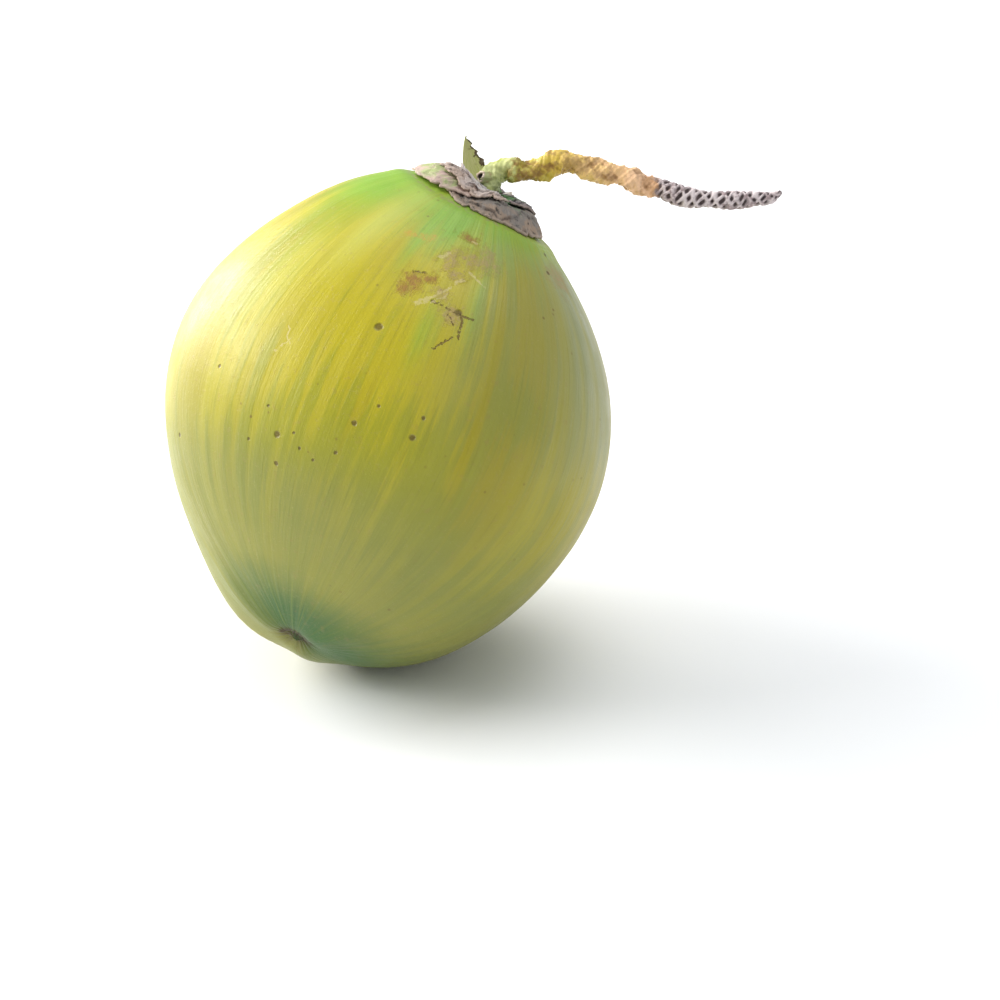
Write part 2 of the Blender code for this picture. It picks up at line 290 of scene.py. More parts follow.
def skin_point(polar, turn):
    """A point of the skin, with the underside cut level where the fruit rests."""
    way = drawn_to_scar(polar, turn)
    point = CENTRE + (body_radius(way) + skin_detail(polar, turn))[..., None] * way
    point[..., 2] = np.maximum(point[..., 2], 0.0)
    return point


def above_skin(polar, turn, height):
    """A point at a height above the skin, along the skin's normal."""
    step = 1e-3
    down = skin_point(polar + step, turn) - skin_point(polar - step, turn)
    around = skin_point(polar, turn + step) - skin_point(polar, turn - step)
    normal = unit(np.cross(down, around))
    return skin_point(polar, turn) + height[..., None] * normal


def degrees_apart(turn, middle):
    """The unsigned angle in degrees between turns in radians and a middle turn in degrees."""
    return np.abs((np.degrees(turn) - middle + 180) % 360 - 180)


def blot(polar, turn, at_polar, at_turn, along, around):
    """1 at a place on the skin, falling off over its sizes along and around the fruit."""
    lengthwise = (polar - math.radians(at_polar)) * MEAN_RADIUS / along
    away = (turn - math.radians(at_turn) + math.pi) % (2 * math.pi) - math.pi
    sideways = away * np.sin(polar) * MEAN_RADIUS / around
    return np.exp(-(lengthwise**2) - sideways**2)


def waves(polar, turn, seed):
    """Smooth uneven waves over the skin, between about -1 and 1, without a seam."""
    total = np.zeros(np.broadcast(polar, turn).shape)
    for k in range(1, 7):
        swing = math.sin(12.9 * k + 78.2 * seed) * 43.7
        down = np.cos(1.7 * k * polar + 1.3 * swing)
        total = total + np.sin(k * turn + swing + 2.3 * polar * k) * down / k
    return total / 1.8


def add_attributes(mesh, attributes):
    for name, values in attributes.items():
        kind, key = ("FLOAT", "value") if values.ndim == 1 else ("FLOAT_VECTOR", "vector")
        layer = mesh.attributes.new(name, kind, "POINT")
        layer.data.foreach_set(key, np.ascontiguousarray(values, np.float32).ravel())


def add_piece(name, points, faces, attributes, material, nodes):
    """A smooth-shaded piece that rides on the body and stands for the nodes named."""
    mesh = bpy.data.meshes.new(name)
    mesh.from_pydata(points.tolist(), [], faces)
    add_attributes(mesh, attributes)
    mesh.shade_smooth()
    mesh.materials.append(material)
    piece = bpy.data.objects.new(name, mesh)
    bpy.context.scene.collection.objects.link(piece)
    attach(piece, "root")
    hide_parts(*nodes)
    return piece


def tube_faces(rings, sides):
    """Faces of a closed tube whose points are a first point, rings in order, and a last point."""
    i = np.arange(sides)
    j = (i + 1) % sides
    last = 1 + rings * sides
    faces = [(0, int(a), int(b)) for a, b in zip(1 + i, 1 + j)]
    for ring in range(rings - 1):
        near, far = 1 + ring * sides, 1 + (ring + 1) * sides
        faces.extend(np.stack([near + i, far + i, far + j, near + j], 1).tolist())
    end = 1 + (rings - 1) * sides
    faces.extend((last, int(b), int(a)) for a, b in zip(end + i, end + j))
    return faces


def tube_values(values):
    """Ring values with a first and a last one added, as the means of the end rings."""
    flat = values.reshape(-1, *values.shape[2:])
    return np.concatenate([values[0].mean(axis=0)[None], flat, values[-1].mean(axis=0)[None]])


def slab_faces(rows, columns):
    """Faces of a closed slab whose points are an upper grid and then a lower one, with the upper side out."""
    index = np.arange(rows * columns).reshape(rows, columns)
    under = index + rows * columns
    quads = np.stack([index[:-1, :-1], index[1:, :-1], index[1:, 1:], index[:-1, 1:]], -1).reshape(-1, 4)
    faces = quads.tolist() + (quads[:, ::-1] + rows * columns).tolist()
    loop = list(index[0, ::-1]) + list(index[1:, 0]) + list(index[-1, 1:]) + list(index[-2:0:-1, -1])
    below = list(under[0, ::-1]) + list(under[1:, 0]) + list(under[-1, 1:]) + list(under[-2:0:-1, -1])
    for k in range(len(loop)):
        m = (k + 1) % len(loop)
        faces.append([int(loop[m]), int(loop[k]), int(below[k]), int(below[m])])
    return faces


class Nodes:
    """A material's node tree, with short ways to add and join its nodes."""

    def __init__(self, name):
        self.material = bpy.data.materials.new(name)
        self.material.use_nodes = True
        self.tree = self.material.node_tree
        self.shader = self.tree.nodes["Principled BSDF"]

    def add(self, kind, inputs=(), **settings):
        node = self.tree.nodes.new(kind)
        for key, value in settings.items():
            setattr(node, key, value)
        for key, value in dict(inputs).items():
            self.put(node.inputs[key], value)
        return node

    def put(self, socket, value):
        if isinstance(value, bpy.types.NodeSocket):
            self.tree.links.new(value, socket)
        else:
            socket.default_value = value

    def attribute(self, name):
        return self.add("ShaderNodeAttribute", attribute_name=name)

    def parts(self, name):
        """The three numbers kept in a vertex attribute."""
        return self.add("ShaderNodeSeparateXYZ", {0: self.attribute(name).outputs["Vector"]}).outputs

    def vector(self, operation, a, b):
        return self.add("ShaderNodeVectorMath", {0: a, 1: b}, operation=operation).outputs[0]

    def maths(self, operation, a, b=0.0, clamp=False):
        return self.add("ShaderNodeMath", {0: a, 1: b}, operation=operation, use_clamp=clamp).outputs[0]

    def scaled(self, vector, scale):
        return self.vector("MULTIPLY", vector, scale)

    def noise(self, vector, scale, detail=4.0, roughness=0.55):
        inputs = {"Vector": vector, "Scale": scale, "Detail": detail, "Roughness": roughness}
        return self.add("ShaderNodeTexNoise", inputs).outputs["Fac"]

    def span(self, value, low, high, to_low=0.0, to_high=1.0):
        inputs = {"Value": value, "From Min": low, "From Max": high, "To Min": to_low, "To Max": to_high}
        return self.add("ShaderNodeMapRange", inputs, interpolation_type="SMOOTHSTEP").outputs["Result"]

    def mix(self, share, a, b):
        node = self.add("ShaderNodeMix", data_type="RGBA")
        for socket, value in ((node.inputs["Factor"], share), (node.inputs[6], a), (node.inputs[7], b)):
            self.put(socket, value if isinstance(value, (float, bpy.types.NodeSocket)) else (*value, 1.0))
        return node.outputs[2]

    def bump(self, height, distance, strength=1.0, before=None):
        inputs = {"Height": height, "Distance": distance, "Strength": strength}
        if before is not None:
            inputs["Normal"] = before
        return self.add("ShaderNodeBump", inputs).outputs["Normal"]

    def near_point(self, position, point, reach):
        """1 at a point and 0 beyond its reach."""
        away = self.add("ShaderNodeVectorMath", {0: position, 1: tuple(point)}, operation="DISTANCE")
        return self.span(away.outputs["Value"], reach * 0.45, reach, 1.0, 0.0)

    def near_line(self, position, start, end, reach):
        """1 on the line between two points and 0 beyond its reach."""
        run = np.array(end) - np.array(start)
        offset = self.vector("SUBTRACT", position, tuple(start))
        along = self.add("ShaderNodeVectorMath", {0: offset, 1: tuple(run)}, operation="DOT_PRODUCT")
        share = self.maths("MULTIPLY", along.outputs["Value"], 1.0 / float(run @ run), clamp=True)
        foot = self.add("ShaderNodeVectorMath", {0: tuple(run), "Scale": share}, operation="SCALE")
        away = self.add("ShaderNodeVectorMath", {0: offset, 1: foot.outputs[0]}, operation="DISTANCE")
        return self.span(away.outputs["Value"], reach * 0.3, reach, 1.0, 0.0)

    def times(self, a, b, clamp=False):
        return self.maths("MULTIPLY", a, b, clamp)

    def plus(self, a, b, clamp=False):
        return self.maths("ADD", a, b, clamp)

    def most(self, values):
        """The greatest of several values."""
        total = values[0]
        for value in values[1:]:
            total = self.maths("MAXIMUM", total, value)
        return total


# The husk's colours
OLIVE = (0.365, 0.300, 0.0015)
GOLD = (0.470, 0.395, 0.004)
GREEN_OLIVE = (0.255, 0.275, 0.006)
LEAF_GREEN = (0.235, 0.420, 0.035)
DEEP_GREEN_AND_SHADE = (0.022, 0.100, 0.012)
LOW_GREEN_AND_SHADE = (0.215, 0.225, 0.040)
# Grey-green of the right side: partly its own tone, partly a painted pale reflection
GREY_GREEN_AND_REFLECTION = (0.270, 0.290, 0.130)
PAINTED_RIDGE_HIGHLIGHT = (0.520, 0.520, 0.090)
RED_BROWN = (0.300, 0.135, 0.030)
TAN = (0.400, 0.280, 0.130)
DARK_BROWN = (0.060, 0.030, 0.012)
# Brown scurf, also used as painted shadow of the cap along its margin
CORK_AND_CAP_SHADOW = (0.330, 0.250, 0.150)
PALE_STREAK = (0.46, 0.43, 0.03)
DARK_STREAK = (0.20, 0.20, 0.008)
FINE_DARK_STREAK = (0.18, 0.17, 0.01)
PALE_GRAIN = (0.60, 0.58, 0.18)
ORANGE = (0.54, 0.28, 0.02)
SPECK_BROWN = (0.15, 0.08, 0.01)
SPOT_BROWN = (0.10, 0.06, 0.008)
CRACK_BROWN = (0.13, 0.060, 0.006)
SCRATCH_CREAM = (0.62, 0.52, 0.22)


def husk_ground(n, position, flow, streak):
    """The skin's colour: olive and gold streaks, green ends darkened towards the scar with painted shade, a
    greyer right side with a painted pale reflection, and a painted highlight along a ridge.
    """
    zone = n.parts("zone")
    shade = n.parts("shade")
    grey = n.parts("tint")[0]
    cloud = n.noise(position, 16.0, 3.0, 0.5)
    broad_streak = n.noise(n.scaled(flow, (3.4, 3.4, 0.5)), 1.0, 3.0, 0.55)
    streak_lean = n.span(streak, 0.3, 0.7, -0.17, 0.17)

    colour = n.mix(n.span(broad_streak, 0.36, 0.62), OLIVE, GOLD)
    colour = n.mix(n.span(n.plus(cloud, streak_lean), 0.44, 0.66, 0.0, 0.62), colour, GREEN_OLIVE)
    # Darker green towards the lower end: partly the skin's own green, partly painted shade
    colour = n.mix(n.plus(shade[0], n.times(streak_lean, shade[1]), clamp=True), colour, LOW_GREEN_AND_SHADE)
    colour = n.mix(n.plus(zone[0], n.times(streak_lean, shade[2]), clamp=True), colour, LEAF_GREEN)
    # Deep green near the scar: the skin's own green, darkened further as painted shade
    colour = n.mix(n.plus(zone[1], n.times(streak_lean, shade[1]), clamp=True), colour, DEEP_GREEN_AND_SHADE)
    # The right side's grey-green: partly its own greyer tone, partly a painted pale reflection
    grey_and_reflection_share = n.plus(grey, n.times(streak_lean, n.span(grey, 0.0, 0.3)))
    grey_and_reflection_share = n.times(grey_and_reflection_share, n.span(broad_streak, 0.3, 0.7, 0.50, 0.85), clamp=True)
    colour = n.mix(grey_and_reflection_share, colour, GREY_GREEN_AND_REFLECTION)
    # Painted highlight: a pale band along the ridge
    colour = n.mix(n.times(zone[2], n.span(broad_streak, 0.2, 0.7, 0.5, 1.0)), colour, PAINTED_RIDGE_HIGHLIGHT)
    colour = n.mix(n.span(streak, 0.54, 0.78, 0.0, 0.20), colour, PALE_STREAK)
    return n.mix(n.span(streak, 0.26, 0.46, 0.22, 0.0), colour, DARK_STREAK)


def skin_lines(n, position, lines):
    """1 on any of several lines drawn on the skin."""
    return n.most([n.near_line(position, skin_at(start), skin_at(end), width) for start, end, width in lines])


def husk_marks(n, position, colour):
    """Lays the small marks over a colour. Returns it with the marks' depth."""
    wander = n.add("ShaderNodeTexNoise", {"Vector": position, "Scale": 320.0, "Detail": 3.0})
    wander = n.vector("SUBTRACT", wander.outputs["Color"], (0.5, 0.5, 0.5))
    shaken = n.vector("ADD", n.scaled(wander, (0.0030, 0.0030, 0.0030)), position)
    nudged = n.vector("ADD", n.scaled(wander, (0.0011, 0.0011, 0.0011)), position)
    broken = n.span(n.noise(position, 650.0, 4.0, 0.7), 0.35, 0.65, -0.45, 0.45)
    cracks = n.span(n.plus(skin_lines(n, shaken, CRACKS), broken), 0.35, 1.0)
    scratches = n.span(n.plus(skin_lines(n, shaken, SCRATCHES), broken), 0.30, 1.1)
    orange = n.times(skin_lines(n, shaken, ORANGE_STREAKS), n.span(broken, -0.3, 0.3, 0.15, 0.60))
    spots = n.most([n.near_point(nudged, skin_at((polar, turn)), size) for polar, turn, size in DARK_SPOTS])

    cell = n.add("ShaderNodeTexVoronoi", {"Vector": position, "Scale": 260.0})
    chosen = n.add("ShaderNodeSeparateColor", {0: cell.outputs["Color"]}).outputs[0]
    speck = n.span(cell.outputs["Distance"], 0.08, 0.24, 1.0, 0.0)
    speck = n.times(speck, n.span(n.plus(chosen, n.parts("marks")[2]), 0.98, 1.04))
    for share, strength, mark_colour in (
        (orange, 1.0, ORANGE),
        (speck, 0.70, SPECK_BROWN),
        (spots, 0.80, SPOT_BROWN),
        (cracks, 0.78, CRACK_BROWN),
        (scratches, 0.62, SCRATCH_CREAM),
    ):
        colour = n.mix(n.times(share, strength), colour, mark_colour)
    return colour, n.plus(cracks, spots)


def husk_material():
    n = Nodes("green_husk_skin")
    position = n.add("ShaderNodeTexCoord").outputs["Object"]
    flow = n.attribute("flow").outputs["Vector"]
    marks = n.parts("marks")
    tint = n.parts("tint")
    streak = n.noise(n.scaled(flow, (14.0, 14.0, 0.9)), 1.0, 5.0, 0.62)
    fine_streak = n.noise(n.scaled(flow, (62.0, 62.0, 2.6)), 1.0, 3.0, 0.6)
    colour = husk_ground(n, position, flow, streak)
    colour = n.mix(n.span(fine_streak, 0.55, 0.80, 0.0, 0.30), colour, FINE_DARK_STREAK)
    colour = n.mix(n.span(n.noise(position, 900.0, 2.0, 0.6), 0.60, 0.80, 0.0, 0.10), colour, PALE_GRAIN)

    # Scuffed patches, with ragged borders and a web of finer rubbing inside
    rough_edge = n.times(n.span(n.noise(position, 230.0, 6.0, 0.72), 0.30, 0.70, -0.50, 0.50), 0.75)
    web = n.noise(n.scaled(flow, (30.0, 30.0, 60.0)), 1.0, 5.0, 0.7)
    brown = n.span(n.plus(marks[0], rough_edge), 0.18, 0.95)
    tan = n.span(n.plus(marks[1], rough_edge), 0.18, 1.00)
    scuffed = n.maths("MAXIMUM", brown, tan)
    colour = n.mix(n.times(tan, n.span(web, 0.35, 0.60, 0.25, 0.80)), colour, TAN)
    colour = n.mix(n.times(brown, n.span(web, 0.35, 0.60, 0.45, 0.85)), colour, RED_BROWN)

    colour, depth = husk_marks(n, position, colour)
    # A thin darker ring just below the cap's margin: brown scurf and painted shadow of the cap
    scurf_and_cap_shadow = n.times(tint[1], n.span(n.noise(position, 420.0, 4.0, 0.65), 0.42, 0.62, 0.0, 0.7))
    colour = n.mix(scurf_and_cap_shadow, colour, CORK_AND_CAP_SHADOW)
    colour = n.mix(tint[2], colour, DARK_BROWN)
    n.put(n.shader.inputs["Base Color"], colour)

    rough = n.span(n.noise(position, 55.0, 4.0, 0.6), 0.3, 0.7, 0.36, 0.47)
    n.put(n.shader.inputs["Roughness"], n.plus(rough, n.times(scuffed, 0.22)))
    n.put(n.shader.inputs["Specular IOR Level"], 0.45)
    normal = n.bump(streak, 0.0006, 0.5)
    normal = n.bump(fine_streak, 0.00022, 0.6, normal)
    normal = n.bump(n.noise(position, 480.0, 4.0, 0.6), 0.00012, 0.7, normal)
    relief = n.maths("SUBTRACT", n.times(scuffed, n.noise(position, 700.0, 3.0, 0.7)), depth)
    n.put(n.shader.inputs["Normal"], n.bump(relief, 0.0004, 0.9, normal))
    return n.material


def skin_at(place):
    """The skin's point at a polar angle and a turn in degrees, on the fruit's plain numbers."""
    point = skin_point(np.array(math.radians(place[0])), np.array(math.radians(place[1])))
    return tuple(float(x) for x in point)


def scar_arch(from_scar, turn):
    """The hooded arch on the scar's upper side."""
    upper_side = smooth(0.5 + 0.7 * np.cos(turn - math.radians(-10)))
    return np.exp(-(((from_scar - 0.0062) / 0.0013) ** 2)) * upper_side


def fine_relief(polar, turn, scuffed):
    """Height added to the skin: unevenness, faint ribs, the scar's furrows and arch, and rubbed hollows."""
    from_scar = (math.pi - polar) * MEAN_RADIUS
    fade = smooth(polar * STEM_RADIUS / 0.05) * smooth(from_scar / 0.02)
    uneven = 0.00030 * waves(polar, turn, 1.0) + 0.00010 * waves(3 * polar, 3 * turn, 2.0)
    ribs = 0.00006 * np.sin(46 * turn + 3 * np.sin(2 * turn) + 2 * polar)
    ribs = ribs * (0.5 + 0.5 * np.sin(5 * turn + 3 * polar))
    furrows = np.cos(18 * turn + 2 * np.sin(5 * turn)) * np.exp(-((from_scar - 0.005) / 0.004) ** 2)
    arch = scar_arch(from_scar, turn)
    return (uneven + ribs) * fade + 0.00022 * furrows + 0.0009 * arch - 0.00018 * scuffed


def skin_tones(polar, turn, brown, tan):
    """The vertex attributes that the skin's material reads."""
    from_scar = (math.pi - polar) * MEAN_RADIUS
    arc = polar * STEM_RADIUS
    lean = waves(polar, turn, 7.0)

    crown = 0.70 + 0.30 * np.cos(turn - math.radians(-10))
    stem_green = 0.90 * smooth((0.074 + 0.012 * lean - arc) / 0.042) * crown
    for place in GREEN_STREAKS:
        stem_green = stem_green + 0.50 * blot(polar, turn, *place)
    near_scar = smooth((0.066 + 0.010 * lean - from_scar) / 0.050)
    # Deep green round the scar: the skin's own green, darkened further as painted shade
    scar_green_and_shade = 0.95 * near_scar * smooth(0.70 + 0.6 * np.cos(turn - math.radians(35)))
    # Darker green over the lower half: partly the skin's own green, partly painted shade
    low = 0.85 * smooth((polar - 1.45 + 0.12 * lean) / 0.75)
    # Pale bands along the ridge: a painted highlight
    ridge_highlight = 0.8 * blot(polar, turn, *RIDGE_HIGHLIGHT_HIGH) + 0.5 * blot(polar, turn, *RIDGE_HIGHLIGHT_LOW)

    # The greyer right side: partly its own tone, partly a painted pale reflection
    right_side_and_reflection = smooth((65 - degrees_apart(turn, 62) + 14 * lean) / 60)
    upper_part = smooth((arc - 0.034) / 0.02) * (1 - smooth((polar + 0.2 * lean - 0.95) / 1.1))
    # A thin ring just below the cap's margin: brown scurf and painted shadow of the cap
    rim = np.exp(-(((arc - 0.0330) / 0.0016) ** 2))
    scar_dark = 1.2 * np.exp(-((from_scar / 0.0062) ** 2)) * (0.75 + 0.25 * np.cos(9 * turn))
    scar_dark = scar_dark + 0.9 * scar_arch(from_scar, turn) - 0.7 * np.exp(-((from_scar / 0.0020) ** 2))
    cluster = 0.10 * blot(polar, turn, *SPECK_CLUSTER) + 0.03 + 0.02 * waves(polar, turn, 5.0)
    low_streaks = smooth(from_scar / 0.15 * (low + near_scar))
    return {
        "flow": np.stack([np.cos(turn), np.sin(turn), polar], -1),
        # zone holds the stem end's green, the scar's green with painted shade, and the ridge's painted
        # highlight
        "zone": np.stack([stem_green, scar_green_and_shade, np.clip(ridge_highlight, 0, 1)], -1),
        "marks": np.stack([brown, tan, cluster], -1),
        # tint holds the right side's grey-green with painted reflection, the scurf ring with painted cap
        # shadow, and the scar's dark brown
        "tint": np.stack([right_side_and_reflection * upper_part, rim, np.clip(scar_dark, 0, 0.92)], -1),
        "shade": np.stack([low, low_streaks, np.clip(4 * stem_green, 0, 1)], -1),
    }


def husk():
    share = np.arange(1, HUSK_RINGS) / HUSK_RINGS
    polar = math.pi * share - 0.25 * np.sin(2 * math.pi * share)
    turn = np.linspace(0, 2 * math.pi, HUSK_SIDES, endpoint=False) + LOBE_TURN
    polar, turn = np.meshgrid(polar, turn, indexing="ij")
    way = drawn_to_scar(polar, turn)
    brown = np.maximum.reduce([blot(polar, turn, *mark) for mark in BROWN_SCUFFS])
    tan = np.maximum.reduce([blot(polar, turn, *mark) for mark in TAN_SCUFFS])

    radius = body_radius(way) + skin_detail(polar, turn) + fine_relief(polar, turn, np.maximum(brown, tan))
    point = CENTRE + radius[..., None] * way
    point[..., 2] = np.maximum(point[..., 2], 0.0)
    stem = skin_point(np.array(0.0), np.array(0.0))
    points = np.concatenate([stem[None], point.reshape(-1, 3), point[-1].mean(axis=0)[None]])
    values = {name: tube_values(value) for name, value in skin_tones(polar, turn, brown, tan).items()}
    faces = tube_faces(*polar.shape)
    add_piece("husk_skin", points, faces, values, husk_material(), ["husk"])


def margin(off_middle, reach, seed):
    """How far a tepal's ragged margin lies from the stalk, at a share of its half width off its middle."""
    ragged = np.sin(7.3 * off_middle + 2.1 * seed) + 0.6 * np.sin(17.0 * off_middle + 4.7 * seed)
    return reach * (1 - 0.22 * np.abs(off_middle) ** 2.4) + RAGGED * ragged


def inner_thickness(share, off_middle):
    """An inner tepal's thickness at a share of its length and a share of its half width off its middle."""
    dome = np.sin(math.pi * np.clip(share, 0, 1) ** (math.log(0.5) / math.log(INNER_DOME_AT))) ** 1.3
    width = smooth((off_middle + 0.70) / 0.60) * smooth((1.0 - off_middle) / 0.60)
    return INNER_MARGIN + (INNER_DOME - INNER_MARGIN) * dome * width


def inner_bottom(off_middle):
    """An inner tepal's height above the skin: one side lies on the skin, the other over its neighbour."""
    return GAP + OVERLAP_LIFT * smooth((off_middle - 0.10) / 0.45)


def inner_top_height(arc, turn):
    """The height above the skin of the inner whorl's upper side, or of the skin itself where it is bare."""
    height = np.zeros(np.broadcast(arc, turn).shape)
    for seed, (middle, reach) in enumerate(zip(INNER_TURNS, INNER_REACHES)):
        away = (np.degrees(turn) - middle + 180) % 360 - 180
        off_middle = away / INNER_HALF
        share = (arc - CAP_HOLE) / (margin(off_middle, reach, seed) - CAP_HOLE)
        top = inner_bottom(off_middle) + inner_thickness(share, off_middle)
        covered = (np.abs(off_middle) <= 1.02) & (share <= 1.02)
        height = np.maximum(height, np.where(covered, top, 0.0))
    return height


def clear_of_inner(arc, turn):
    """A height above the skin that clears the inner whorl at this place and a little way round it."""
    heights = [
        inner_top_height(arc + 0.0016 * i, turn + math.radians(7) * j)
        for i in (-1, 0, 1)
        for j in (-1, -0.5, 0, 0.5, 1)
    ]
    return np.maximum.reduce(heights) + GAP


def tepal_material(name, heart, middle, edge, spots):
    """Colours from the stalk outwards, with fibres along the tepal, dark spots and a dry pale edge."""
    n = Nodes(name)
    position = n.add("ShaderNodeTexCoord").outputs["Object"]
    leaf = n.attribute("leaf").outputs["Vector"]
    parts = n.add("ShaderNodeSeparateXYZ", {0: leaf}).outputs
    fibre = n.noise(n.scaled(leaf, (5.0, 42.0, 7.0)), 1.0, 5.0, 0.65)
    fine_fibre = n.noise(n.scaled(leaf, (9.0, 150.0, 3.0)), 1.0, 3.0, 0.6)
    patch = n.noise(position, 150.0, 5.0, 0.65)
    outward = n.maths("ADD", parts[0], n.span(patch, 0.3, 0.7, -0.28, 0.28))
    colour = n.mix(n.span(outward, 0.18, 0.55), heart, middle)
    colour = n.mix(n.span(outward, 0.62, 0.98), colour, edge)
    colour = n.mix(n.span(fibre, 0.50, 0.75, 0.0, 0.50), colour, (0.50, 0.42, 0.34))
    colour = n.mix(n.span(fine_fibre, 0.55, 0.78, 0.0, 0.45), colour, (0.09, 0.06, 0.04))
    torn = n.maths("MULTIPLY", n.attribute("edges").outputs["Fac"], n.span(patch, 0.42, 0.56, 0.15, 1.0))
    colour = n.mix(n.maths("MULTIPLY", torn, spots), colour, (0.040, 0.028, 0.022))
    dark = n.span(n.noise(position, 330.0, 3.0, 0.6), 0.56, 0.66, 0.0, spots)
    colour = n.mix(dark, colour, (0.035, 0.028, 0.022))
    colour = n.mix(n.span(parts[0], 0.93, 1.0, 0.0, 0.45), colour, (0.52, 0.40, 0.32))
    n.put(n.shader.inputs["Base Color"], colour)
    n.put(n.shader.inputs["Roughness"], n.span(patch, 0.3, 0.7, 0.50, 0.78))
    normal = n.bump(fibre, 0.0006, 0.8)
    normal = n.bump(fine_fibre, 0.00025, 0.8, normal)
    n.put(n.shader.inputs["Normal"], n.bump(patch, 0.0006, 0.7, normal))
    return n.material


def tepal(node, middle, half, hole, reach, seed, height_at, thickness_at, material):
    share, off_middle = np.meshgrid(
        np.linspace(0, 1, TEPAL_ROWS), np.linspace(-1, 1, TEPAL_COLUMNS), indexing="ij"
    )
    teeth = 0.00022 * np.sin(61 * off_middle + 3 * seed) + 0.00018 * np.sin(103 * off_middle + seed)
    tear_places = (-0.55 + (0.1 * seed) % 0.3, 0.18, 0.62)
    tears = sum(0.0022 * np.exp(-(((off_middle - place) / 0.022) ** 2)) for place in tear_places)
    edge = margin(off_middle, reach, seed) + teeth - tears
    arc = hole + share * (edge - hole)
    turn = np.radians(middle + half * off_middle)
    bottom = height_at(arc, turn, off_middle)
    true_share = (arc - hole) / (margin(off_middle, reach, seed) - hole)
    thickness = thickness_at(true_share, off_middle)
    strands = np.sin(70 * off_middle + 4 * share + 2 * np.sin(9 * off_middle))
    fibres = 0.00014 * strands * smooth(share / 0.2)
    folds = 0.00030 * np.sin(11 * share + 5 * off_middle + seed) * np.sin(6.5 * off_middle + 2 * seed)
    layer = 2.7 * share + 0.40 * np.sin(5 * off_middle + seed) + 0.22 * np.sin(13 * off_middle + 2 * seed)
    layer = layer + 0.10 * np.sin(31 * off_middle + 5 * share)
    layer = layer - np.floor(layer)
    steps = 0.00085 * (layer - 0.5) * smooth((1 - np.abs(off_middle)) / 0.2)
    top = bottom + thickness + (fibres + folds + steps) * smooth((1 - share) / 0.12) * smooth(share / 0.1)
    polar = arc / STEM_RADIUS
    upper, lower = above_skin(polar, turn, top), above_skin(polar, turn, bottom)
    points = np.concatenate([upper.reshape(-1, 3), lower.reshape(-1, 3)])
    leaf = np.stack([share, off_middle, np.full_like(share, 1.7 * seed)], -1).reshape(-1, 3)
    edges = np.maximum(smooth((0.16 - layer) / 0.16), 0.6 * smooth((layer - 0.93) / 0.07)).reshape(-1)
    values = {"leaf": np.concatenate([leaf, leaf]), "edges": np.concatenate([edges, edges])}
    add_piece(f"{node}_leaf", points, slab_faces(*share.shape), values, material, [node])


def cap():
    green = tepal_material(
        "tepal_green_dome", (0.30, 0.38, 0.14), (0.40, 0.46, 0.18), (0.56, 0.40, 0.34), 0.30
    )
    grey = tepal_material(
        "tepal_grey_dome", (0.14, 0.26, 0.12), (0.22, 0.19, 0.165), (0.32, 0.23, 0.165), 0.92
    )
    pink = tepal_material(
        "tepal_pink_fibre", (0.78, 0.72, 0.68), (0.68, 0.56, 0.50), (0.56, 0.42, 0.34), 0.50
    )
    brown = tepal_material(
        "tepal_brown_scale", (0.10, 0.24, 0.08), (0.22, 0.19, 0.19), (0.33, 0.26, 0.25), 0.92
    )
    for seed, material in enumerate((grey, grey, green)):
        tepal(
            f"tepal_inner_{seed + 1}",
            INNER_TURNS[seed],
            INNER_HALF,
            CAP_HOLE,
            INNER_REACHES[seed],
            seed,
            lambda arc, turn, off_middle: inner_bottom(off_middle),
            inner_thickness,
            material,
        )
    for seed, material in enumerate((pink, brown, brown)):
        tepal(
            f"tepal_outer_{seed + 1}",
            OUTER_TURNS[seed],
            OUTER_HALF,
            OUTER_HOLE,
            OUTER_REACHES[seed],
            seed + 3,
            lambda arc, turn, off_middle: clear_of_inner(arc, turn),
            outer_thickness,
            material,
        )


def outer_thickness(share, off_middle):
    fall = smooth((1 - share) / 0.5) * smooth((1 - np.abs(off_middle)) / 0.4)
    return OUTER_MARGIN + (OUTER_DOME - OUTER_MARGIN) * fall


def stalk_line(share):
    """The stalk's middle line and radius at shares of its route, smoothly through the route's points."""
    route = np.array(STALK_ROUTE)
    padded = np.vstack([2 * route[0] - route[1], route, 2 * route[-1] - route[-2]])
    place = np.clip(share, 0, 1) * (len(route) - 1)
    index = np.minimum(place.astype(int), len(route) - 2)
    t = (place - index)[:, None]
    a, b, c, d = (padded[index + k] for k in range(4))
    curve = b + 0.5 * t * (c - a + t * (2 * a - 5 * b + 4 * c - d + t * (3 * (b - c) + d - a)))
    return CENTRE + curve[:, :3], curve[:, 3]


def stalk_frames(share):
    """Middle line, radius, the two directions across, the direction along, and the length so far."""
    middle, radius = stalk_line(share)
    ahead = unit(np.gradient(middle, axis=0))
    length = np.concatenate([[0], np.cumsum(np.linalg.norm(np.diff(middle, axis=0), axis=1))])
    level = unit(np.cross(ahead, AHEAD))
    return middle, radius, level, np.cross(level, ahead), ahead, length


def hashed(a, b):
    """An even spread of numbers from 0 to 1, one for each pair of whole numbers."""
    return np.modf(np.abs(np.sin(a * 12.9898 + b * 78.233) * 43758.5453))[0]


def dry_scales(run, around):
    """Slanting ridges with pits between them: 1 on a ridge and 0 in a pit, and each ridge's own number."""
    slant = run / RIDGE_PITCH + 2 * around / (2 * math.pi) + 0.12 * np.sin(3 * around + 700 * run)
    ridge = 0.5 + 0.5 * np.cos(2 * math.pi * slant)
    row = np.floor(slant + 0.5)
    across = 5 * around - 1.3 * 2 * math.pi * run / RIDGE_PITCH + 0.5 * np.sin(900 * run)
    cell = 0.5 + 0.5 * np.cos(across)
    height = 1 - (1 - ridge) ** 0.8 * smooth(1.55 * cell - 0.10)
    return height, hashed(row, np.floor(2 * np.cos(around + row)))


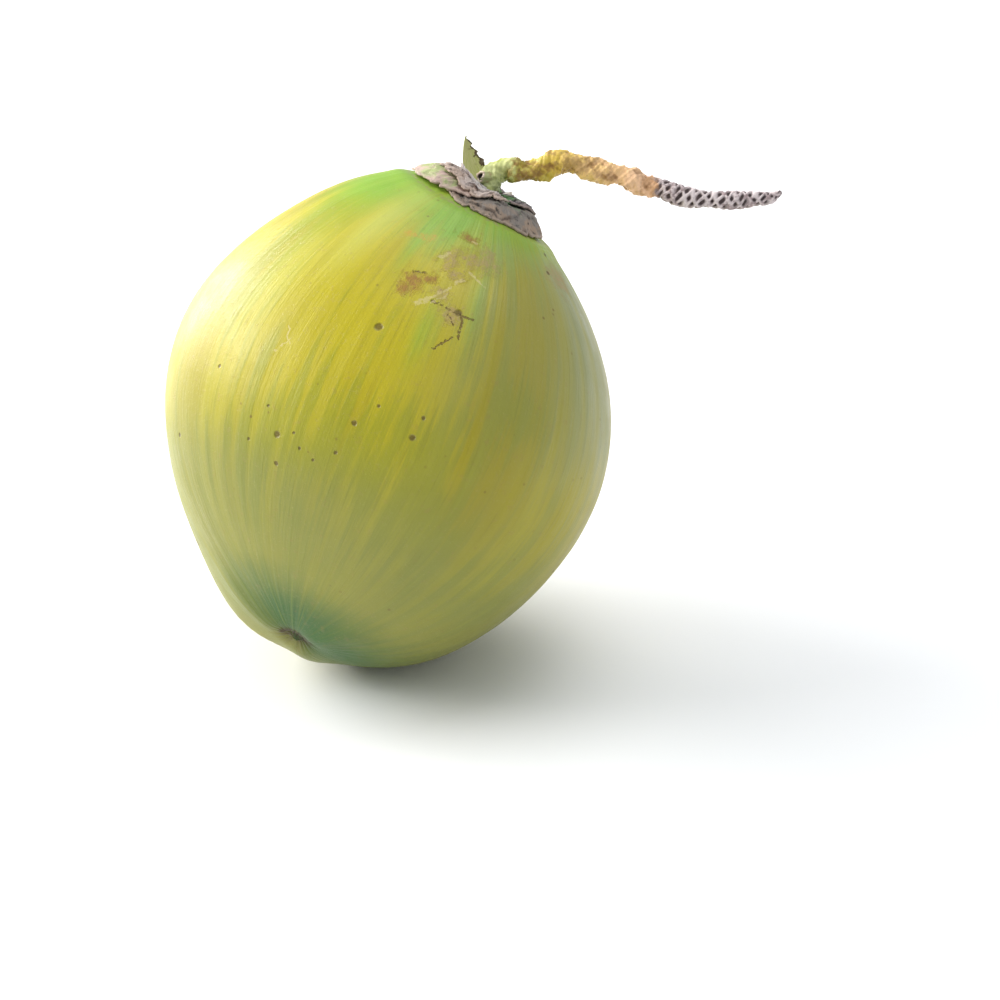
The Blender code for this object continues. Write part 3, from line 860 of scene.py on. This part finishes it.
def stalk_material():
    n = Nodes("stalk_skin_fresh_and_dry")
    position = n.add("ShaderNodeTexCoord").outputs["Object"]
    parts = n.parts("stem")
    blotch = n.noise(position, 190.0, 4.0, 0.6)
    fine = n.noise(position, 900.0, 4.0, 0.65)
    along = n.maths("ADD", parts[0], n.span(blotch, 0.3, 0.7, -0.035, 0.035))
    ramp = n.add("ShaderNodeValToRGB", {0: along})
    # The first stop darkens the stalk's foot: painted shade under the first segment
    stops_with_foot_shade = (
        (0.00, (0.12, 0.12, 0.04)),
        (0.035, (0.44, 0.48, 0.20)),
        (0.15, (0.62, 0.64, 0.24)),
        (0.19, (0.54, 0.46, 0.08)),
        (0.27, (0.66, 0.46, 0.05)),
        (0.36, (0.86, 0.58, 0.17)),
        (0.46, (0.90, 0.56, 0.27)),
        (0.56, (0.95, 0.60, 0.36)),
        (0.62, (0.80, 0.45, 0.22)),
        (0.66, (0.38, 0.30, 0.29)),
        (1.00, (0.48, 0.42, 0.42)),
    )
    elements = ramp.color_ramp.elements
    while len(elements) < len(stops_with_foot_shade):
        elements.new(0.5)
    for element, (place, colour) in zip(elements, stops_with_foot_shade):
        element.position = place
        element.color = (*colour, 1.0)
    fresh = n.span(parts[0], 0.60, 0.65, 1.0, 0.0)
    dry = n.span(parts[0], 0.61, 0.66)
    blotched = n.maths("MULTIPLY", n.span(blotch, 0.47, 0.60), n.span(parts[0], 0.13, 0.50, 0.85, 0.30))
    blotched = n.maths("MULTIPLY", blotched, n.maths("MULTIPLY", fresh, n.span(parts[0], 0.12, 0.17)))
    colour = n.mix(blotched, ramp.outputs[0], (0.22, 0.10, 0.02))
    green_spot = n.span(n.noise(position, 120.0, 2.0, 0.5), 0.52, 0.66, 0.0, 0.8)
    green_spot = n.maths("MULTIPLY", green_spot, n.span(parts[0], 0.15, 0.30, 1.0, 0.0))
    colour = n.mix(green_spot, colour, (0.42, 0.46, 0.04))
    knob_pit = n.maths("MULTIPLY", n.span(parts[1], -1.7, -0.3, 1.0, 0.0), n.maths("MULTIPLY", fresh, 0.60))
    knob_pit = n.maths("MULTIPLY", knob_pit, n.span(parts[0], 0.11, 0.19))
    colour = n.mix(knob_pit, colour, (0.26, 0.11, 0.02))
    tone_share = n.span(n.plus(parts[2], n.span(fine, 0.3, 0.7, -0.4, 0.4)), 0.1, 0.7)
    tone = n.mix(tone_share, (0.34, 0.25, 0.25), (0.76, 0.66, 0.65))
    gap = n.span(n.maths("ADD", parts[1], n.span(fine, 0.3, 0.7, -0.12, 0.12)), 0.22, 0.68, 1.0, 0.0)
    colour = n.mix(n.maths("MULTIPLY", dry, n.span(parts[1], 0.45, 0.90, 0.0, 0.90)), colour, tone)
    colour = n.mix(n.maths("MULTIPLY", gap, n.maths("MULTIPLY", dry, 0.88)), colour, (0.050, 0.030, 0.030))
    colour = n.mix(n.span(fine, 0.55, 0.75, 0.0, 0.35), colour, (0.24, 0.15, 0.08))
    n.put(n.shader.inputs["Base Color"], colour)
    n.put(n.shader.inputs["Roughness"], n.span(parts[0], 0.55, 0.68, 0.52, 0.82))
    normal = n.bump(blotch, 0.0010, 0.6)
    n.put(n.shader.inputs["Normal"], n.bump(fine, 0.00035, 0.8, normal))
    return n.material


def stalk():
    share = np.linspace(0, 1, STALK_RINGS)
    middle, radius, level, upright, ahead, length = stalk_frames(share)
    around = np.linspace(0, 2 * math.pi, STALK_SIDES, endpoint=False)[None, :]
    run = length[:, None]
    dry = smooth((share - STALK_DRY_FROM) / 0.04)[:, None]
    taper = smooth(np.minimum(share, 1 - share) / 0.05)[:, None]
    knobs = np.sin(2 * around + 260 * run) + 0.7 * np.sin(3 * around - 430 * run + 1.0)
    knobs = knobs + 0.45 * np.sin(5 * around + 900 * run) + 0.40 * np.sin(4 * around - 1500 * run + 2.0)
    knobs = knobs + 0.30 * np.sin(7 * around + 2300 * run + 1.0) + 0.25 * np.sin(9 * around - 3100 * run)
    dome, number = dry_scales(run, around)
    scales = (1.9 * dome - 1.1) * (0.75 + 0.45 * number)
    rise = (KNOB_RISE * knobs * (1 - dry) + SCALE_RISE * scales * dry) * taper
    reach = (radius[:, None] + rise)[..., None]
    rings = middle[:, None] + reach * (
        np.cos(around)[..., None] * level[:, None] + np.sin(around)[..., None] * upright[:, None]
    )
    foot_rings = int(0.016 * STALK_RINGS)
    foot_turn = math.pi / 2 - around[0]
    for k in range(foot_rings):
        up = GAP + (k / foot_rings) * 0.0012
        spread = (radius[0] + 0.0006 * (1 - k / foot_rings) ** 2) / STEM_RADIUS
        seat = above_skin(np.full_like(foot_turn, spread), foot_turn, np.full_like(foot_turn, up))
        share_up = smooth(np.array(k / foot_rings))
        rings[k] = seat * (1 - share_up) + rings[foot_rings] * share_up
    start = above_skin(np.array(1e-4), np.array(0.0), np.array(GAP))
    end = middle[-1] + ahead[-1] * radius[-1] * 0.5
    points = np.concatenate([start[None], rings.reshape(-1, 3), end[None]])
    relief = knobs * (1 - dry) + dome * dry
    stem = np.stack([share[:, None] + 0 * around, relief, number + 0 * around], -1)
    faces = [face[::-1] for face in tube_faces(STALK_RINGS, STALK_SIDES)]
    values = {"stem": tube_values(stem)}
    add_piece("stalk_skin", points, faces, values, stalk_material(), ["stalk"])


# The cut stub of a side branch on the stalk's foot, from the fruit's centre
STUB_AT = np.array([0.0405, 0.0240, 0.0975])
STUB_WAY = np.array([-0.80, -0.50, 0.33])
STUB_PROFILE = (
    (0.0010, 0.0034),
    (0.0036, 0.0031),
    (0.0050, 0.0027),
    (0.0058, 0.0025),
    (0.0061, 0.0021),
    (0.0059, 0.0016),
    (0.0052, 0.0012),
    (0.0046, 0.0008),
)


def stub():
    """A short branch cut off square, with a pale rim and a dark hollow middle."""
    sides = 48
    around = np.linspace(0, 2 * math.pi, sides, endpoint=False)
    way = unit(STUB_WAY)
    across = unit(np.cross(way, AXIS))
    over = np.cross(across, way)
    fine = np.linspace(0, len(STUB_PROFILE) - 1, 36)
    profile = np.array(STUB_PROFILE)
    reach = np.interp(fine, range(len(profile)), profile[:, 0])
    radius = np.interp(fine, range(len(profile)), profile[:, 1])
    rough = 1 + 0.07 * np.sin(3 * around + 1) + 0.05 * np.sin(7 * around) + 0.03 * np.sin(13 * around)
    lift = 0.0003 * np.sin(4 * around + 2) * smooth(fine / 4)[:, None]
    spokes = np.cos(around)[:, None] * across + np.sin(around)[:, None] * over
    rings = CENTRE + STUB_AT + (reach[:, None] + lift)[..., None] * way
    rings = rings + (radius[:, None] * rough)[..., None] * spokes
    points = np.concatenate([rings[0].mean(axis=0)[None], rings.reshape(-1, 3), rings[-1].mean(axis=0)[None]])
    n = Nodes("stub_cut_end")
    position = n.add("ShaderNodeTexCoord").outputs["Object"]
    inward = n.parts("cut")[0]
    patch = n.noise(position, 500.0, 4.0, 0.6)
    colour = n.mix(n.span(inward, 0.28, 0.50), (0.44, 0.46, 0.20), (0.70, 0.58, 0.48))
    colour = n.mix(n.span(patch, 0.45, 0.65, 0.0, 0.6), colour, (0.36, 0.20, 0.12))
    colour = n.mix(n.span(inward, 0.66, 0.82), colour, (0.030, 0.018, 0.014))
    n.put(n.shader.inputs["Base Color"], colour)
    n.put(n.shader.inputs["Roughness"], n.span(patch, 0.3, 0.7, 0.55, 0.75))
    n.put(n.shader.inputs["Normal"], n.bump(patch, 0.0005, 0.8))
    inward_share = (fine / fine[-1])[:, None] + 0 * around
    values = {"cut": tube_values(np.stack([inward_share, inward_share, inward_share], -1))}
    faces = [face[::-1] for face in tube_faces(len(fine), sides)]
    add_piece("stalk_stub", points, faces, values, n.material, ["stalk"])


# Papery flakes beside the stalk: arc from the stalk's middle, turn, half width, tallness, lean outwards
FLAKES = (
    (0.0125, -60, 0.0024, 0.0036, 0.0016),
    (0.0140, -38, 0.0030, 0.0030, 0.0026),
    (0.0160, -16, 0.0030, 0.0022, 0.0034),
    (0.0125, 10, 0.0022, 0.0018, 0.0030),
    (0.0135, 150, 0.0026, 0.0026, 0.0020),
)


def flakes():
    n = Nodes("papery_flake")
    position = n.add("ShaderNodeTexCoord").outputs["Object"]
    leaf = n.attribute("leaf").outputs["Vector"]
    fibre = n.noise(n.scaled(leaf, (2.0, 14.0, 3.0)), 1.0, 4.0, 0.6)
    patch = n.noise(position, 600.0, 4.0, 0.6)
    colour = n.mix(n.span(fibre, 0.35, 0.65), (0.80, 0.76, 0.74), (0.58, 0.48, 0.44))
    colour = n.mix(n.span(patch, 0.58, 0.70, 0.0, 0.8), colour, (0.20, 0.13, 0.10))
    n.put(n.shader.inputs["Base Color"], colour)
    n.put(n.shader.inputs["Roughness"], n.span(patch, 0.3, 0.7, 0.60, 0.80))
    n.put(n.shader.inputs["Normal"], n.bump(fibre, 0.0003, 0.7))
    up, side = np.meshgrid(np.linspace(0, 1, 26), np.linspace(-1, 1, 30), indexing="ij")
    for number, (arc, turn, half, tall, lean) in enumerate(FLAKES):
        ragged = 1 - 0.35 * np.abs(side) ** 2.2 + 0.10 * np.sin(9 * side + number)
        ragged = ragged + 0.06 * np.sin(21 * side + 2 * number)
        base = clear_of_inner(np.array(arc), np.array(math.radians(turn))) + 0.3 * OUTER_DOME
        height = base + tall * up * ragged
        curl = 0.0006 * np.sin(3 * side + 2 * up + number) + 0.0010 * side**2
        place = arc + lean * up * ragged + curl
        angle = math.radians(turn) + side * half / place * (1 - 0.25 * up)
        face = above_skin(place / STEM_RADIUS, angle, height)
        back = above_skin((place + 0.00025) / STEM_RADIUS, angle, height - 0.00015)
        points = np.concatenate([face.reshape(-1, 3), back.reshape(-1, 3)])
        leaf_values = np.stack([up, side, np.full_like(up, number)], -1).reshape(-1, 3)
        values = {"leaf": np.concatenate([leaf_values, leaf_values])}
        faces = [row[::-1] for row in slab_faces(*up.shape)]
        name = f"papery_flake_{number + 1}"
        add_piece(name, points, faces, values, n.material, ["tepal_outer_1"])


def bract_material():
    n = Nodes("bract_leathery")
    position = n.add("ShaderNodeTexCoord").outputs["Object"]
    leaf = n.attribute("leaf").outputs["Vector"]
    parts = n.add("ShaderNodeSeparateXYZ", {0: leaf}).outputs
    fibre = n.noise(n.scaled(leaf, (3.0, 22.0, 1.0)), 1.0, 4.0, 0.6)
    patch = n.noise(position, 420.0, 4.0, 0.6)
    colour = n.mix(n.span(fibre, 0.35, 0.65), (0.55, 0.58, 0.18), (0.74, 0.70, 0.36))
    right = n.maths("ADD", parts[1], n.span(patch, 0.3, 0.7, -0.35, 0.35))
    colour = n.mix(n.span(right, 0.42, 0.66), colour, (0.10, 0.055, 0.03))
    frayed = n.span(n.plus(right, n.span(fibre, 0.3, 0.7, -0.2, 0.2)), 0.86, 1.0, 0.0, 0.5)
    colour = n.mix(frayed, colour, (0.52, 0.46, 0.34))
    colour = n.mix(n.span(patch, 0.60, 0.70, 0.0, 0.5), colour, (0.30, 0.24, 0.09))
    n.put(n.shader.inputs["Base Color"], colour)
    n.put(n.shader.inputs["Roughness"], n.span(patch, 0.3, 0.7, 0.48, 0.70))
    n.put(n.shader.inputs["Normal"], n.bump(fibre, 0.0004, 0.8))
    return n.material


def bract():
    rows, columns = np.linspace(0, 1, BRACT_ROWS), np.linspace(-1, 1, BRACT_COLUMNS)
    along, across = np.meshgrid(rows, columns, indexing="ij")
    teeth = BRACT_TOOTH * np.sin(2 * math.pi * BRACT_TEETH * along) * np.clip(across, 0, 1)
    teeth = teeth + 0.00022 * np.sin(71 * along) * np.clip(across, 0, 1) ** 3
    half = BRACT_HALF_WIDTH * (1 - along) * (0.55 + 0.45 * smooth(along / 0.30)) + 0.0003
    width_way = unit(BRACT_ACROSS)
    rise_way = unit(BRACT_TIP - BRACT_FOOT)
    back_way = np.cross(rise_way, width_way)
    middle = BRACT_FOOT + along[..., None] * (BRACT_TIP - BRACT_FOOT)
    middle = middle + (4 * along * (1 - along))[..., None] * BRACT_BOW
    cup = BRACT_CUP * across**2 * (1 - along)
    ribs = 0.00006 * np.cos(9 * math.pi * across) * (1 - across**2)
    blade = middle + (across * half + teeth)[..., None] * width_way - cup[..., None] * back_way
    thick = BRACT_THICKNESS * (0.35 + 0.65 * (1 - across**2)) * (1 - 0.6 * along)
    face = CENTRE + blade - (0.5 * thick + ribs)[..., None] * back_way
    back = CENTRE + blade + 0.5 * thick[..., None] * back_way
    leaf = np.stack([along, across, 0 * along], -1).reshape(-1, 3)
    points = np.concatenate([face.reshape(-1, 3), back.reshape(-1, 3)])
    faces = [row[::-1] for row in slab_faces(BRACT_ROWS, BRACT_COLUMNS)]
    values = {"leaf": np.concatenate([leaf, leaf])}
    add_piece("bract_blade", points, faces, values, bract_material(), ["bract"])


def aim(item, target):
    """Turns a light to face a point."""
    way = unit(np.array(target) - np.array(item.location))
    item.rotation_euler = (math.acos(-way[2]), 0, math.atan2(way[0], -way[1]) + math.pi)


def area_light(name, place, width, height, watts, colour):
    data = bpy.data.lights.new(name, "AREA")
    data.shape = "RECTANGLE"
    data.size = width
    data.size_y = height
    data.energy = watts
    data.color = colour
    item = bpy.data.objects.new(name, data)
    item.location = place
    bpy.context.scene.collection.objects.link(item)
    aim(item, CENTRE)


def floor():
    n = Nodes("floor_white")
    position = n.add("ShaderNodeTexCoord").outputs["Object"]
    colour = n.mix(n.span(n.noise(position, 3.0, 2.0), 0.3, 0.7), (0.93, 0.93, 0.93), (0.95, 0.95, 0.95))
    n.put(n.shader.inputs["Base Color"], colour)
    n.put(n.shader.inputs["Roughness"], 0.6)
    mesh = bpy.data.meshes.new("floor")
    mesh.from_pydata([(-8, -8, 0), (8, -8, 0), (8, 8, 0), (-8, 8, 0)], [], [(0, 1, 2, 3)])
    mesh.materials.append(n.material)
    item = bpy.data.objects.new("floor", mesh)
    item.location = (0, 0, -0.0002)
    bpy.context.scene.collection.objects.link(item)


def studio():
    world = bpy.data.worlds.new("studio")
    world.use_nodes = True
    background = world.node_tree.nodes["Background"]
    background.inputs["Color"].default_value = (0.91, 0.95, 1.0, 1.0)
    background.inputs["Strength"].default_value = 0.56
    bpy.context.scene.world = world
    area_light("key", (-2.3, 0.35, 1.35), 2.5, 1.4, 94.0, (1.0, 0.99, 0.96))
    area_light("rim", (-1.7, 1.7, 0.7), 1.2, 1.2, 42.0, (1.0, 0.98, 0.98))
    area_light("overhead", (0.6, 0.6, 3.2), 2.4, 2.4, 46.0, (0.97, 0.99, 1.0))
    bpy.context.scene.view_settings.view_transform = "Standard"


def camera():
    data = bpy.data.cameras.new("camera")
    data.lens = CAMERA_LENS
    data.sensor_width = 36
    data.clip_end = 30
    item = bpy.data.objects.new("camera", data)
    item.location = CAMERA_AT
    item.rotation_euler = (math.pi / 2 - CAMERA_DOWN, 0, 0)
    bpy.context.scene.collection.objects.link(item)
    bpy.context.scene.camera = item


husk()
cap()
stalk()
stub()
flakes()
bract()
floor()
studio()
camera()
